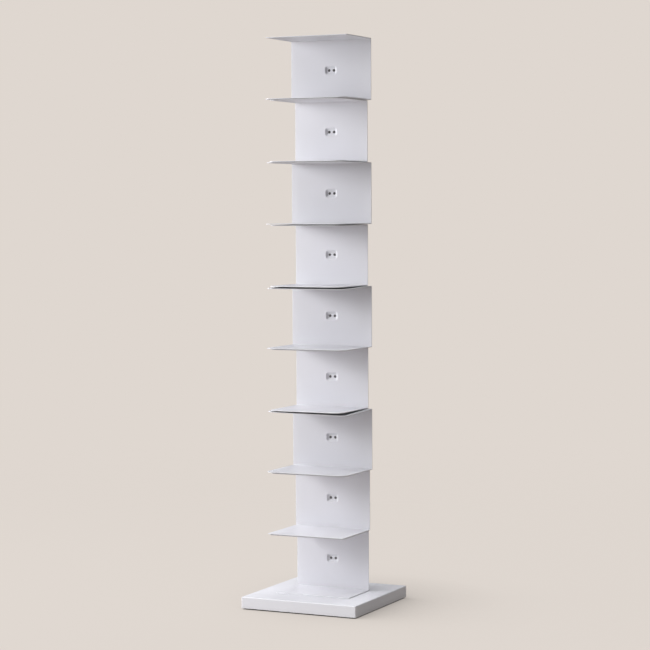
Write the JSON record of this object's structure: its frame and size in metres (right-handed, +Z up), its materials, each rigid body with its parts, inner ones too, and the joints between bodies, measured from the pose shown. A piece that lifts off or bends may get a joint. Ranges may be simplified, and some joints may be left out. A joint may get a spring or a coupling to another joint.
{
  "type": "spine bookshelf",
  "caption": "Slim book tower: C-bent sheet-steel shelves of alternating width screwed in line to a hidden rear column on a square weighted base; open at front and sides.",
  "frame": {"origin": "centre of the square base, on the floor", "axes": "+Z up along the tower, -Y towards the front where the shelves open, +X to the right seen from the front"},
  "size_m": [0.35, 0.35, 1.5858],
  "materials": {
    "wide_shelf_coat": "satin white powder coat, fine texture, a shade greyer",
    "narrow_shelf_coat": "satin white powder coat, fine texture",
    "base_powder_coat": "satin white powder coat, fine texture",
    "column_powder_coat": "satin white powder coat, fine texture",
    "black_screw": "black oxide steel",
    "zinc_steel": "zinc plated",
    "primed_steel": "dark primer",
    "pad_rubber": "matt",
    "cap_plastic": "moulded, matt white"
  },
  "bodies": {
    "root": {"shelf_module_1": "wide_shelf_coat", "shelf_module_2": "narrow_shelf_coat", "shelf_module_3": "wide_shelf_coat", "shelf_module_4": "narrow_shelf_coat", "shelf_module_5": "wide_shelf_coat", "shelf_module_6": "narrow_shelf_coat", "shelf_module_7": "wide_shelf_coat", "shelf_module_8": "narrow_shelf_coat", "shelf_module_9": "narrow_shelf_coat", "base_cover": "base_powder_coat", "base_weight_plate": "primed_steel", "spine_column": "column_powder_coat", "column_cap": "cap_plastic", "column_bolts": "zinc_steel", "cover_standoffs": "zinc_steel", "standoff_screws": "zinc_steel", "foot_pads": "pad_rubber", "recess_screws": "black_screw", "spine_rivet_nuts": "zinc_steel", "tether_nut": "zinc_steel"}
  },
  "joints": []
}
